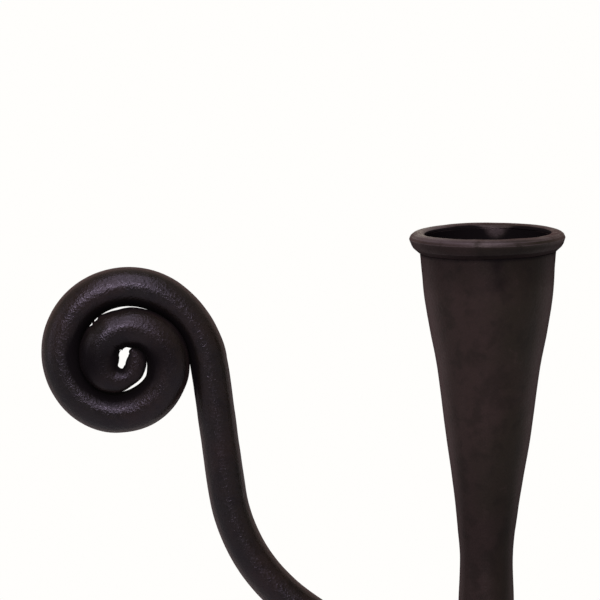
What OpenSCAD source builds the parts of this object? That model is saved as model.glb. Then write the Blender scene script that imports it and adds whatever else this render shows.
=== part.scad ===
// Torchere candle stand: a tapered iron candle cup on a tall round pole, with one
// forged scroll arm beside the cup and three scroll legs banded round the pole's foot.
// Units are millimetres. +Z is up, the floor is z = 0 and the pole stands on the Z axis.
// The scroll arm lies in the XZ plane, on the -X side. Leg 1 points the other way, to +X.

/* [Overall] */
// Height from the floor to the top of the cup's rim
stand_h = 1060; // [950:10:1200]

/* [Bar and pole] */
// Diameter of the round bar that the arm and the legs are forged from
bar_d = 14; // [13.6:0.1:14]
// Outside diameter of the pole's tube
pole_d = 20; // [19:0.5:20]
// Wall of the pole's tube
pole_wall = 2.9; // [2:0.1:3.5]

/* [Candle cup] */
// Radius of the cup just under its rim
cup_r = 24.85; // [24:0.05:26]
// Wall of the cup
cup_wall = 2.2; // [1.8:0.1:2.6]
// Depth of the plate that the candle stands on, below the rim
seat_depth = 36; // [30:1:45]
// How far the rim stands out beyond the cup
rim_out = 3.85; // [3:0.05:5]

/* [Scroll arm] */
// Distance from the pole's axis out to the eye of the scroll
eye_out = 136.7; // [132:0.1:142]
// Depth of the eye of the scroll below the rim
eye_drop = 47.4; // [40:0.1:60]
// How far each turn of the scroll stands forward of the turn outside it
scroll_dish = 5.4; // [5.2:0.1:6]

/* [Legs] */
// Height of the pole's joint above the floor
joint_z = 500; // [450:10:560]
// Radius of each leg's sweep from the pole out to its foot
leg_sweep_r = 120; // [110:1:125]
// Length of each leg that stands straight against the pole
leg_stand = 96; // [85:1:110]

/* [Hidden] */
$fn = 96;

iron = [0.16, 0.14, 0.15];
bright_steel = [0.6, 0.6, 0.62];
rubber = [0.08, 0.08, 0.08];

bar_r = bar_d / 2;
pole_r = pole_d / 2;
bore_r = pole_r - pole_wall;
fit = 0.05;                 // gap left between pieces that are driven or clamped together
plug_r = bore_r - fit;      // plugs and spigots inside the pole and the neck

// Cup: [outside radius, depth below the rim], from the mouth down to the foot of the neck
neck_r = 9.85;
neck_depth = 150;
cup_outline = [
    [cup_r, 2], [cup_r, 8.5], [cup_r - 0.85, 22.5], [cup_r - 3.2, 37.5], [cup_r - 6, 52.5],
    [15.45, 78.5], [13.2, 93], [11.55, 104.5], [neck_r, 121], [pole_r, neck_depth]
];
seat_t = 3;
spigot_in_neck = 40;
spigot_in_pole = 30;

// Rim: a rounded band that hooks over the mouth and slopes in underneath
rim_h = 8.3;

// Scroll: the bar's centreline radius at each quarter turn, from the tip outwards.
// The last value only sets the slope at which the bar leaves the scroll.
scroll_turns = [7.5, 7.3, 7.1, 9.9, 18.5, 20.35, 21.35, 26.2, 33.1, 46];
scroll_tip_r = 1.8;
scroll_taper = 180;         // degrees of turn over which the bar is drawn out to its tip
scroll_curl = 18;           // degrees that the tip curls further in
// The bar is pressed wider where its turns meet: [degrees from the tip, extra radius]
scroll_swell = [
    [-18, 0], [0, 0.7], [28, 0.9], [68, 0.5], [90, 0.35], [150, 0.2], [212, 1.3], [226, 1.5], [237, 0.9], [262, 1], [277, 1.2], [290, 1.75],
    [303, 1.6], [325, 0.8], [350, 0.7], [372, 0.7], [390, 0.4], [450, 0.4], [520, 0.3],
    [590, 0.45], [632, 0.2], [720, 0.1]
];
no_swell = [[0, 0], [1, 0]];
// The bar from the scroll down to the pole: [radius, degrees], or [length, 0] for a straight
arm_bends = [[215, -3], [32, 0], [310, 1.5], [65, 40.5]];

collar_r = 15;
collar_h = 32;
spot_face_x = 13;           // the collar is faced flat here for the arm and its washer
spot_face_r = 9;
tenon_r = 4;
tenon_hole_r = tenon_r + fit;
washer_t = 2;
washer_r = 8.5;
peen_t = 2.6;
peen_r = 6.5;

knop_r = 15;
knop_h = 30;
insert_len = 40;
stud_r = 5;
stud_len = 50;
stud_hole_r = stud_r + fit;

// Foot and head scrolls of a leg, as for the arm. Equal values on both sides of the
// last real one make the bar leave the scroll square to its radius.
foot_turns = [6, 7.5, 10.5, 15, 21, 26, 21];
head_turns = [4.2, 6, 9, 12.6, 15.4, 12.6];
leg_tip_r = 2.8;
leg_taper = 200;
foot_bend_r = 80;           // the sole's gentle bend, before the sweep
foot_pitch = 18;            // slope of the leg where it nears the foot
leg_axis_r = pole_r + bar_r + fit;

glide_h = 5;
glide_r = 12;
glide_flat = 0.8;           // depth of the flat filed on the bar's underside
glide_stud_r = 2.5;
glide_stud_top = 13;
sole_z = glide_h + bar_r - glide_flat;

band_h = 12;
band_t = 4;
band_inset = 10;            // from each end of the leg's straight to its band

arm_sides = 16;
leg_sides = 12;
scroll_step = 9;            // degrees of turn between rings in a scroll
bend_step = 6;              // degrees of turn between rings in a bend
band_step = 7.5;            // degrees of turn between points round a leg in a band

// ---------------------------------------------------------------- curves

// Catmull-Rom value at share t between b and c
function blend4(a, b, c, d, t) =
    0.5 * (2 * b + (c - a) * t + (2 * a - 5 * b + 4 * c - d) * t * t
        + (3 * b - a - 3 * c + d) * t * t * t);

// Smooth curve through a list of points, n steps to each span
function smooth_line(p, n) = concat(
    [for (i = [0:len(p) - 2], s = [0:n - 1])
        blend4(p[max(i - 1, 0)], p[i], p[i + 1], p[min(i + 2, len(p) - 1)], s / n)],
    [p[len(p) - 1]]);

// Whole turn of a scroll that has one radius per quarter turn
function full_turn(turns) = 90 * (len(turns) - 2);

function scroll_r(turns, a) =
    let (i = max(0, min(floor(a / 90), len(turns) - 3)))
    blend4(turns[max(i - 1, 0)], turns[i], turns[i + 1], turns[i + 2], a / 90 - i);

// Angle between the bar and a circle round the eye, where the bar leaves the scroll
function scroll_pitch(turns) =
    let (n = len(turns))
    atan((turns[n - 1] - turns[n - 3]) / 2 / (PI / 2) / turns[n - 2]);

// Value at a place in a table of [place, value], easing from row to row
function eased(table, at, i = 0) =
    i > len(table) - 2 ? table[len(table) - 1][1] :
    at > table[i + 1][0] ? eased(table, at, i + 1) :
    let (s = max(0, at - table[i][0]) / (table[i + 1][0] - table[i][0]))
    table[i][1] + (table[i + 1][1] - table[i][1]) * s * s * (3 - 2 * s);

// Stations [across, up, bar radius, dish, swell] of a scroll, from its tip outwards. The
// bar leaves it at leave_angle, and spin is 1 where the scroll winds inwards to the left.
function scroll_stations(turns, eye, leave_angle, spin, tip_r, taper,
        dish = 0, swell = no_swell, curl = 0) =
    let (whole = full_turn(turns))
    [for (a = [-curl:scroll_step:whole])
        let (
            r = scroll_r(turns, a),
            angle = leave_angle + spin * (whole - a),
            thick = min(1, (a + curl) / (taper + curl)),
            turn_share = (whole - a) / 360
        )
        [eye[0] + r * cos(angle), eye[1] + r * sin(angle),
            tip_r + (bar_r - tip_r) * thick, dish * turn_share, eased(swell, a)]];

// Stations along bends that start at point p with this heading, p itself left out
function bend_stations(p, heading, bends, i = 0) =
    i == len(bends) ? [] :
    let (
        size = bends[i][0],
        turn = bends[i][1],
        n = max(1, ceil(abs(turn) / bend_step)),
        arc = size * sign(turn),
        new = turn == 0
            ? [[p[0] + size * cos(heading), p[1] + size * sin(heading)]]
            : [for (s = [1:n]) let (h = heading + turn * s / n)
                [p[0] + arc * (sin(h) - sin(heading)), p[1] - arc * (cos(h) - cos(heading))]]
    )
    concat([for (q = new) [q[0], q[1], bar_r, 0, 0]],
        bend_stations(new[len(new) - 1], heading + turn, bends, i + 1));

function total_turn(bends) = len(bends) == 0 ? 0 : [for (b = bends) b[1]] * [for (b = bends) 1];

function last(list) = list[len(list) - 1];

// Forged round bar through stations in the XZ plane: one ring to each station, both ends
// closed, and a rounded tip at the first station
module forged_bar(stations, sides) {
    n = len(stations);
    function point(i) = [stations[i][0], stations[i][1]];
    function along(i) =
        let (d = point(min(i + 1, n - 1)) - point(max(i - 1, 0))) d / norm(d);
    function ring(i, slide, share) =
        let (d = along(i), s = stations[i])
        [for (k = [0:sides - 1]) let (
                a = 360 * k / sides,
                across = share * (s[2] + s[4]) * cos(a),
                deep = share * s[2] * sin(a)
            )
            [s[0] + slide * d[0] - across * d[1], s[3] + deep, s[1] + slide * d[1] + across * d[0]]];
    tip_r = stations[0][2];
    rings = concat(
        [ring(0, -tip_r * 0.8, 0.45), ring(0, -tip_r * 0.4, 0.83)],
        [for (i = [0:n - 1]) ring(i, 0, 1)]);
    points = [for (r = rings, p = r) p];
    quads = [for (i = [0:len(rings) - 2], k = [0:sides - 1]) let (next = (k + 1) % sides)
        [i * sides + k, i * sides + next, (i + 1) * sides + next, (i + 1) * sides + k]];
    triangles = [for (q = quads) each [[q[0], q[1], q[2]], [q[0], q[2], q[3]]]];
    top = (len(rings) - 1) * sides;
    polyhedron(points, concat(triangles,
        [[for (k = [sides - 1:-1:0]) k]], [[for (k = [0:sides - 1]) top + k]]));
}

// ---------------------------------------------------------------- where things are

eye = [-eye_out, stand_h - eye_drop];
scroll_pts = scroll_stations(scroll_turns, eye, 0, 1, scroll_tip_r, scroll_taper,
    -scroll_dish, scroll_swell, scroll_curl);
arm_heading = scroll_pitch(scroll_turns) - 90;
drop_pts = bend_stations(last(scroll_pts), arm_heading, arm_bends);
// The last bend levels the bar out as it meets the collar's flat face
root_turn = -(arm_heading + total_turn(arm_bends));
root_bend_r = (-spot_face_x - last(drop_pts)[0]) / sin(root_turn);
root_pts = bend_stations(last(drop_pts), -root_turn, [[root_bend_r, root_turn]]);
arm_pts = concat(scroll_pts, drop_pts, root_pts);
arm_z = last(root_pts)[1];
arm_reach = max([for (s = arm_pts) s[2] + s[4] - s[0]]);

neck_z = stand_h - neck_depth;

// Legs reach as far to +X as the arm does to -X, so that the stand is centred on its pole
foot_scroll = scroll_stations(foot_turns, [0, 0], -90, 1, leg_tip_r, leg_taper);
foot_overhang = max([for (s = foot_scroll) s[0] + s[2]]);
foot_x = arm_reach - foot_overhang;
foot_pts = scroll_stations(foot_turns, [foot_x, sole_z + foot_turns[len(foot_turns) - 2]],
    -90, 1, leg_tip_r, leg_taper);
slope_len = (foot_x - leg_axis_r - foot_bend_r * sin(foot_pitch)
    - leg_sweep_r * (1 - sin(foot_pitch))) / cos(foot_pitch);
sweep_pts = bend_stations(last(foot_pts), 180, [
    [foot_bend_r, -foot_pitch], [slope_len, 0], [leg_sweep_r, foot_pitch - 90], [leg_stand, 0]
]);
stand_top_z = last(sweep_pts)[1];
stand_low_z = stand_top_z - leg_stand;
head_pts = scroll_stations(head_turns, [leg_axis_r + head_turns[len(head_turns) - 2], stand_top_z],
    180, -1, leg_tip_r, leg_taper);
head_from_pole = [for (i = [len(head_pts) - 2:-1:0]) head_pts[i]];
leg_pts = concat(foot_pts, sweep_pts, head_from_pole);

pole_low_z = stand_low_z - 22;

// ---------------------------------------------------------------- candle cup

// Tapered cup and its neck, swaged from one length of tube
module candle_cup() {
    outside = smooth_line(cup_outline, 5);
    inside = [for (p = outside) [max(p[0] - cup_wall, bore_r), p[1]]];
    color(iron) rotate_extrude()
        polygon([for (p = concat(outside, [for (i = [len(inside) - 1:-1:0]) inside[i]]))
            [p[0], stand_h - p[1]]]);
}

// Heavy rim, forged from flat bar and shrunk over the mouth
module cup_rim() {
    out_r = cup_r + rim_out;
    inner_r = cup_r - cup_wall;
    outline = [
        [inner_r, 2], [inner_r + 0.5, 1.2], [inner_r + 1.2, 0.5], [inner_r + 2, 0],
        [inner_r + 2.8, 0], [inner_r + 4, 0.35], [out_r - 1.1, 0.9], [out_r - 0.4, 1.6],
        [out_r, 2.7], [out_r - 0.3, 4], [out_r - 0.9, 5.3],
        [cup_r + 2.2, rim_h - 1.9], [cup_r + 1, rim_h - 0.8], [cup_r + 0.4, rim_h - 0.2],
        [cup_r + fit, rim_h], [cup_r + fit, 2]
    ];
    color(iron) rotate_extrude() polygon([for (p = outline) [p[0], stand_h - p[1]]]);
}

// Plate inside the cup that the candle stands on
module candle_seat() {
    outside = smooth_line(cup_outline, 5);
    function inside_at(depth) = lookup(depth, [for (p = outside) [p[1], p[0]]]) - cup_wall;
    color(iron) translate([0, 0, stand_h - seat_depth - seat_t])
        cylinder(h = seat_t, r1 = inside_at(seat_depth + seat_t) - fit, r2 = inside_at(seat_depth) - fit);
}

// Solid spigot that joins the neck to the pole, cross-drilled for the arm's tenon
module neck_spigot() {
    color(bright_steel) difference() {
        translate([0, 0, neck_z - spigot_in_pole])
            cylinder(h = spigot_in_neck + spigot_in_pole, r = plug_r);
        tenon_hole();
    }
}

// ---------------------------------------------------------------- scroll arm

module along_x(x, z) {
    translate([x, 0, z]) rotate([0, 90, 0]) children();
}

module tenon_hole() {
    along_x(-2 * collar_r, arm_z) cylinder(h = 4 * collar_r, r = tenon_hole_r);
}

// Forged bar with its scroll, and the tenon that goes through the pole and is peened over
module scroll_arm() {
    washer_x = spot_face_x + washer_t;
    color(iron) union() {
        forged_bar(arm_pts, arm_sides);
        along_x(-spot_face_x - 1, arm_z) cylinder(h = washer_x + spot_face_x + 1.5, r = tenon_r);
        along_x(washer_x, arm_z) rotate_extrude() polygon(concat([[0, 0]],
            [for (a = [90:-15:0]) [peen_r * sin(a), peen_t * cos(a)]]));
    }
}

// Collar over the seam of neck and pole, faced flat where the arm and its washer bear
module arm_collar() {
    half = collar_h / 2;
    color(iron) difference() {
        translate([0, 0, arm_z]) rotate_extrude() polygon([
            [pole_r + fit, -half], [pole_r + 2, -half], [pole_r + 3.2, -half + 1.2],
            [pole_r + 3.2, -half + 3.6], [pole_r + 2.4, -half + 4.6], [collar_r, -half + 8],
            [collar_r, half - 8], [pole_r + 2.4, half - 4.6], [pole_r + 3.2, half - 3.6],
            [pole_r + 3.2, half - 1.2], [pole_r + 2, half], [pole_r + fit, half]
        ]);
        tenon_hole();
        for (side = [-1, 1]) along_x(side * (spot_face_x + 5) - 5, arm_z)
            cylinder(h = 10, r = spot_face_r);
    }
}

// Washer under the peened end of the tenon
module arm_washer() {
    color(iron) along_x(spot_face_x, arm_z) difference() {
        cylinder(h = washer_t, r = washer_r);
        translate([0, 0, -1]) cylinder(h = washer_t + 2, r = tenon_hole_r);
    }
}

// ---------------------------------------------------------------- pole

module pole_tube(low, high) {
    translate([0, 0, low]) difference() {
        cylinder(h = high - low, r = pole_r);
        translate([0, 0, -1]) cylinder(h = high - low + 2, r = bore_r);
    }
}

module upper_pole() {
    color(iron) difference() {
        pole_tube(joint_z, neck_z);
        tenon_hole();
    }
}

module lower_pole() {
    color(iron) pole_tube(pole_low_z, joint_z);
}

// Plug welded into the end of a tube, tapped through for the stud
module tapped_insert(low) {
    color(bright_steel) translate([0, 0, low]) difference() {
        cylinder(h = insert_len, r = plug_r);
        translate([0, 0, -1]) cylinder(h = insert_len + 2, r = stud_hole_r);
    }
}

module upper_insert() {
    tapped_insert(joint_z);
}

module lower_insert() {
    tapped_insert(joint_z - insert_len);
}

// Stud that screws the two tubes together
module joint_stud() {
    color(bright_steel) translate([0, 0, joint_z - stud_len / 2]) cylinder(h = stud_len, r = stud_r);
}

// Turned ring that covers the pole's joint
module joint_knop() {
    half = knop_h / 2;
    bead = [for (a = [-75:15:75]) [pole_r + 1.2 + (knop_r - pole_r - 1.2) * cos(a), 9.5 * sin(a)]];
    color(iron) translate([0, 0, joint_z]) rotate_extrude() polygon(concat(
        [[pole_r + fit, -half], [pole_r + 2.2, -half], [pole_r + 3, -half + 1],
            [pole_r + 3, -half + 3], [pole_r + 2.2, -half + 4]],
        bead,
        [[pole_r + 2.2, half - 4], [pole_r + 3, half - 3],
            [pole_r + 3, half - 1], [pole_r + 2.2, half], [pole_r + fit, half]]
    ));
}

// Turned drop that closes the pole's lower end
module pole_drop() {
    ball_r = 12.5;
    ball_z = pole_low_z - 6 - ball_r;
    color(iron) rotate_extrude() polygon(concat(
        [[0, pole_low_z + 25], [plug_r, pole_low_z + 25], [plug_r, pole_low_z],
            [pole_r + 1.5, pole_low_z], [pole_r + 2.5, pole_low_z - 1],
            [pole_r + 2.5, pole_low_z - 3], [pole_r + 1.5, pole_low_z - 4],
            [7.5, pole_low_z - 5]],
        [for (a = [38:13:168]) [ball_r * sin(a), ball_z + ball_r * cos(a)]],
        [[2.2, ball_z - ball_r - 1], [1.6, ball_z - ball_r - 3], [0, ball_z - ball_r - 3.6]]
    ));
}

// ---------------------------------------------------------------- legs

module at_leg(i) {
    rotate([0, 0, 120 * (i - 1)]) children();
}

// Forged leg: foot scroll, sweep, straight against the pole, head scroll
module leg(i) {
    color(iron) at_leg(i) difference() {
        forged_bar(leg_pts, leg_sides);
        translate([foot_x - 25, -10, 0]) cube([50, 20, glide_h]);
        translate([foot_x, 0, 0]) cylinder(h = glide_stud_top + 0.5, r = glide_stud_r + fit);
    }
}

// Outline of a band round three bars: an arc round each, joined by their outer tangents
module band_outline(r) {
    polygon([for (i = [0:2], a = [-60:band_step:60])
        [leg_axis_r * cos(120 * i) + r * cos(120 * i + a),
            leg_axis_r * sin(120 * i) + r * sin(120 * i + a)]]);
}

// Band of flat bar wrapped hot round the three legs
module leg_band(z) {
    color(iron) translate([0, 0, z - band_h / 2]) linear_extrude(band_h) difference() {
        band_outline(bar_r + fit + band_t);
        band_outline(bar_r + fit);
    }
}

module upper_leg_band() {
    leg_band(stand_top_z - band_inset);
}

module lower_leg_band() {
    leg_band(stand_low_z + band_inset);
}

// Rubber glide under each foot scroll
module foot_glide(i) {
    color(rubber) at_leg(i) translate([foot_x, 0, 0]) rotate_extrude() polygon([
        [0, 0], [glide_r - 1.2, 0], [glide_r, 1.2], [glide_r, glide_h - 1.6],
        [glide_r - 1.6, glide_h], [glide_stud_r + fit, glide_h], [glide_stud_r + fit, 1.4], [0, 1.4]
    ]);
}

// Steel stud moulded into the glide and screwed up into the foot
module glide_stud(i) {
    color(bright_steel) at_leg(i) translate([foot_x, 0, 1.5])
        cylinder(h = glide_stud_top - 1.5, r = glide_stud_r);
}

candle_cup();
cup_rim();
candle_seat();
neck_spigot();
scroll_arm();
arm_collar();
arm_washer();
upper_pole();
upper_insert();
joint_stud();
joint_knop();
lower_insert();
lower_pole();
pole_drop();
upper_leg_band();
lower_leg_band();
leg(1);  // leg_1
leg(2);  // leg_2
leg(3);  // leg_3
foot_glide(1);  // foot_glide_1
foot_glide(2);  // foot_glide_2
foot_glide(3);  // foot_glide_3
glide_stud(1);  // glide_stud_1
glide_stud(2);  // glide_stud_2
glide_stud(3);  // glide_stud_3
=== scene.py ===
import math

import bmesh
import bpy
from mathutils import Matrix, Vector
from mathutils.bvhtree import BVHTree


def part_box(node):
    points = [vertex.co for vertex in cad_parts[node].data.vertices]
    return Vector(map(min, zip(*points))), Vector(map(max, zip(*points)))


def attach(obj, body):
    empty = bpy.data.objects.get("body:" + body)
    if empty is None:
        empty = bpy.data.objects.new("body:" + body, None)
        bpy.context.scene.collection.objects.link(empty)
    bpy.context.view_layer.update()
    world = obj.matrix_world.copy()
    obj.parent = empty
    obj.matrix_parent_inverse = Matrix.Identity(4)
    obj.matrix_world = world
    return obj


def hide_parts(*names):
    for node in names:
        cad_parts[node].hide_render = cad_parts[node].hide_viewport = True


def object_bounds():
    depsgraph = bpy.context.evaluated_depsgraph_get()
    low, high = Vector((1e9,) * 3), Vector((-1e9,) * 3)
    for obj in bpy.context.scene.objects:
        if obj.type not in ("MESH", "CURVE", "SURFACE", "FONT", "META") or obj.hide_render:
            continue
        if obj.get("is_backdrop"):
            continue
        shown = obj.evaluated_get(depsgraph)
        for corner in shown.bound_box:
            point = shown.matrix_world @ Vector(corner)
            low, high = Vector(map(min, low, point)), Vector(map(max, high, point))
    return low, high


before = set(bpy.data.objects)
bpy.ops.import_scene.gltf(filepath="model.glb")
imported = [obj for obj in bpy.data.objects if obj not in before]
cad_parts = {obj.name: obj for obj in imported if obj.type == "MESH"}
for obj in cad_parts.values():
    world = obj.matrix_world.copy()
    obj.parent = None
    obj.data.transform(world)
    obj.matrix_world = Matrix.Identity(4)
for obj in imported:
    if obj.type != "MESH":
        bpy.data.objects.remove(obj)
cad_low, cad_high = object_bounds()
mm = 0.001

# ------------------------------------------------------------------------------------
# Candle cup
# One length of tube, swaged hot into a flared cup above a slim neck. It is blacked over
# the fire and oiled, so its brown-black skin clouds from warm to cool, and it is painted
# warmer and lighter towards -X, as painted light from that side.
# ------------------------------------------------------------------------------------


class Wire:
    """A socket in a node tree. Arithmetic on a wire adds Math nodes to the tree."""

    def __init__(self, tree, socket=None):
        self.tree = tree
        self.socket = socket

    def node(self, kind, sockets=None, out=0, **settings):
        """Adds a node: its settings first, then its sockets by name or number."""
        made = self.tree.nodes.new(kind)
        for name, value in settings.items():
            setattr(made, name, value)
        for name, value in (sockets or {}).items():
            if isinstance(value, Wire):
                self.tree.links.new(value.socket, made.inputs[name])
            else:
                made.inputs[name].default_value = value
        return Wire(self.tree, made.outputs[out] if made.outputs else None)

    def math(self, operation, a, b):
        return self.node("ShaderNodeMath", {0: a, 1: b}, operation=operation)

    def __add__(self, other):
        return self.math("ADD", self, other)

    __radd__ = __add__

    def __sub__(self, other):
        return self.math("SUBTRACT", self, other)

    def __rsub__(self, other):
        return self.math("SUBTRACT", other, self)

    def __mul__(self, other):
        return self.math("MULTIPLY", self, other)

    __rmul__ = __mul__

    def __rtruediv__(self, other):
        return self.math("DIVIDE", other, self)

    def scaled(self, factor):
        """This vector times a number."""
        return self.node("ShaderNodeVectorMath", {0: self, "Scale": factor}, operation="SCALE")

    def clouds(self, size, detail=2.0, rough=0.5, shift=0.0):
        """Smooth noise from 0 to 1 over this vector, with features of about this size."""
        place = self.node("ShaderNodeVectorMath", {0: self, 1: (shift, 2 * shift, -shift)})
        return self.node(
            "ShaderNodeTexNoise",
            {"Vector": place, "Scale": 1 / size, "Detail": detail, "Roughness": rough},
        )

    def stepped(self, low, high):
        """0 where this wire is under low, 1 where it is over high, smooth between."""
        return self.node(
            "ShaderNodeMapRange",
            {"Value": self, "From Min": low, "From Max": high},
            interpolation_type="SMOOTHSTEP",
        )

    def colour(self, rgb):
        made = self.node("ShaderNodeRGB")
        made.socket.default_value = (*rgb, 1)
        return made

    def tint(self, rgb, share):
        """This colour mixed towards another one by share."""
        sockets = {0: share, 6: self, 7: self.colour(rgb)}
        return self.node("ShaderNodeMix", sockets, out=2, data_type="RGBA")

    def stored(self, name):
        """A number that is stored at each point of the mesh."""
        return self.node("ShaderNodeAttribute", out=2, attribute_name=name)


def new_finish(name):
    """An empty material, and a wire to build it with."""
    material = bpy.data.materials.new(name)
    material.use_nodes = True
    material.node_tree.nodes.clear()
    return material, Wire(material.node_tree)


def iron_finish(name, warm, cool, gloss_tint, ior, cloud, grit, dull, painted_side_light=0.0, shift=0.0):
    """Blacked iron: warm and cool browns in clouds, under a skin of fine grit.

    The side-light factor sets how fast the skin turns warmer and lighter towards -X, as
    painted light from that side, and grit is how sandy the scale is. A pink-brown painted
    sheen shows where the skin is seen edge on, less where it is worn or carries a painted
    highlight, and a near-black painted shade lies where the stored painted shade is high.
    """
    rubbed_tone = [c * 1.6 + 0.002 for c in warm]
    burnt_tone = [c * 0.4 for c in cool]
    worn_and_highlight_tone = (0.052, 0.037, 0.044)
    painted_edge_sheen_tone = (0.058, 0.032, 0.034, 1)
    painted_shade_tone = (0.0040, 0.0030, 0.0038, 1)
    sand_size = 1.0 * mm
    pit_size = 3.2 * mm
    rub_size = 7 * mm
    material, wires = new_finish(name)
    place = wires.node("ShaderNodeTexCoord", out=3)
    across = wires.node("ShaderNodeSeparateXYZ", {0: place})
    # Random patches, plus painted light that makes the skin warmer and lighter towards -X
    patches = (place.clouds(cloud, 3, 0.55, shift) - across * painted_side_light).stepped(0.36, 0.64)
    mottle = place.clouds(cloud / 6, 4, 0.6, shift)
    burnt = (1 - mottle).stepped(0.46, 0.66)
    sand = place.clouds(sand_size, 2, 0.6, shift).stepped(0.36, 0.64)
    pits = place.clouds(pit_size, 2, 0.5, shift).stepped(0.60, 0.72)
    rubbed = place.clouds(rub_size, 5, 0.7, shift).stepped(0.56, 0.72)
    # Painted shade: the stored amount darkens the skin towards near black in hollows, in the
    # mouth and under the rim
    painted_shade = wires.stored("painted_shade").stepped(0.03, 0.52)
    # Real wear on rounded corners, and painted highlight where marked on the rim and in the
    # mouth: lighter colour, less roughness
    worn_and_highlight = wires.stored("worn_and_highlight") * mottle.stepped(0.30, 0.55)
    skin = wires.colour(cool).tint(warm, patches)
    skin = skin.tint(rubbed_tone, rubbed * 0.35)
    skin = skin.tint(burnt_tone, burnt * 0.5)
    skin = skin.tint(worn_and_highlight_tone, worn_and_highlight * 0.6)
    height = sand * (0.12 * grit) + mottle * 0.25 - pits * (0.12 * grit)
    bump = wires.node("ShaderNodeBump", {"Distance": 0.45 * mm, "Height": height})
    shader = wires.node(
        "ShaderNodeBsdfPrincipled",
        {
            "Base Color": skin,
            "Roughness": dull - (sand - 0.5) * (0.16 * grit) - rubbed * 0.06 - worn_and_highlight * 0.1,
            "IOR": ior,
            "Specular Tint": (*gloss_tint, 1),
            "Normal": bump,
        },
    )
    # A pink-brown painted sheen takes the place of part of the gloss where the skin is seen edge
    # on
    painted_edge_sheen = wires.node("ShaderNodeBsdfDiffuse", {"Color": painted_edge_sheen_tone})
    edge_on = wires.node("ShaderNodeLayerWeight", {"Blend": 0.5}, out=1).stepped(0.3, 0.9)
    edge_sheen_share = edge_on * (0.85 - worn_and_highlight * 0.4)
    shader = wires.node("ShaderNodeMixShader", {0: edge_sheen_share, 1: shader, 2: painted_edge_sheen})
    # A near-black diffuse painted shade, mixed in by the stored painted shade
    painted_shade_shader = wires.node("ShaderNodeBsdfDiffuse", {"Color": painted_shade_tone})
    shader = wires.node("ShaderNodeMixShader", {0: painted_shade * 0.95, 1: shader, 2: painted_shade_shader})
    wires.node("ShaderNodeOutputMaterial", {"Surface": shader})
    return material


cup_finish = iron_finish(
    "cup_finish",
    warm=(0.0150, 0.0086, 0.0082),
    cool=(0.0090, 0.0066, 0.0046),
    gloss_tint=(0.96, 0.77, 0.84),
    ior=1.24,
    cloud=42 * mm,
    grit=0.5,
    dull=0.44,
    # Painted light: the cup's skin is warmer and lighter towards -X
    painted_side_light=14.0,
)


# Points this close are one point, and points this close to the axis lie on it
hair = 0.001 * mm


def soften(outline, radius, spacing):
    """A closed outline with its corners rounded off and its long sides divided.

    Each point is returned with its wear: 1 at the middle of a rounded corner. Bends
    that are nearly straight stay as they are, and so do corners on the axis.
    """
    sharp_from = math.radians(12)
    arc_step = math.radians(18)
    rounded = []
    count = len(outline)
    for i in range(count):
        corner = Vector(outline[i])
        before = Vector(outline[i - 1]) - corner
        after = Vector(outline[(i + 1) % count]) - corner
        turn = math.pi - before.angle(after)
        if turn < sharp_from or corner.x < hair:
            rounded.append((corner, 0.0))
            continue
        cut = min(radius * math.tan(turn / 2), before.length * 0.45, after.length * 0.45)
        start = corner + before.normalized() * cut
        end = corner + after.normalized() * cut
        steps = max(2, round(turn / arc_step))
        for s in range(steps + 1):
            t = s / steps
            curve = start * (1 - t) ** 2 + corner * 2 * t * (1 - t) + end * t * t
            rounded.append((curve, math.sin(math.pi * t)))
    divided = []
    for i, (point, wear) in enumerate(rounded):
        gap = rounded[(i + 1) % len(rounded)][0] - point
        parts = max(1, math.ceil(gap.length / spacing))
        divided.append((point, wear))
        divided += [(point + gap * (k / parts), 0.0) for k in range(1, parts)]
    return divided


def closed_piece(name, verts, faces, wear=()):
    """An object from points and faces, with doubles merged and all faces outwards."""
    mesh = bpy.data.meshes.new(name)
    mesh.from_pydata(verts, [], faces)
    worn_and_highlight = mesh.attributes.new("worn_and_highlight", "FLOAT", "POINT")
    worn_and_highlight.data.foreach_set("value", wear or [0.0] * len(verts))
    shape = bmesh.new()
    shape.from_mesh(mesh)
    bmesh.ops.remove_doubles(shape, verts=shape.verts, dist=hair)
    bmesh.ops.recalc_face_normals(shape, faces=shape.faces)
    shape.to_mesh(mesh)
    shape.free()
    piece = bpy.data.objects.new(name, mesh)
    bpy.context.scene.collection.objects.link(piece)
    return piece


def turned(name, outline, radius, spacing, sides, centre=(0, 0)):
    """A solid of revolution about an upright axis, from a closed outline of (r, z)."""
    points = soften(outline, radius, spacing)
    rings = len(points)
    verts = []
    for k in range(sides):
        angle = 2 * math.pi * k / sides
        for p, _ in points:
            across = (centre[0] + p.x * math.cos(angle), centre[1] + p.x * math.sin(angle))
            verts.append((*across, p.y))
    faces = []
    for k in range(sides):
        here = k * rings
        there = (k + 1) % sides * rings
        for i in range(rings):
            j = (i + 1) % rings
            if points[i][0].x > hair or points[j][0].x > hair:
                faces.append((here + i, here + j, there + j, there + i))
    return closed_piece(name, verts, faces, [wear for _, wear in points] * sides)


def new_tree(name, inputs):
    """A Geometry Nodes tree with these inputs: its wire, and a wire from each input."""
    tree = bpy.data.node_groups.new(name, "GeometryNodeTree")
    sockets = [("Geometry", "Geometry")] + inputs
    for label, kind in sockets:
        tree.interface.new_socket(label, in_out="INPUT", socket_type="NodeSocket" + kind)
    tree.interface.new_socket("Geometry", in_out="OUTPUT", socket_type="NodeSocketGeometry")
    start = tree.nodes.new("NodeGroupInput")
    return Wire(tree), {label: Wire(tree, start.outputs[label]) for label, _ in sockets}


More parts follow.
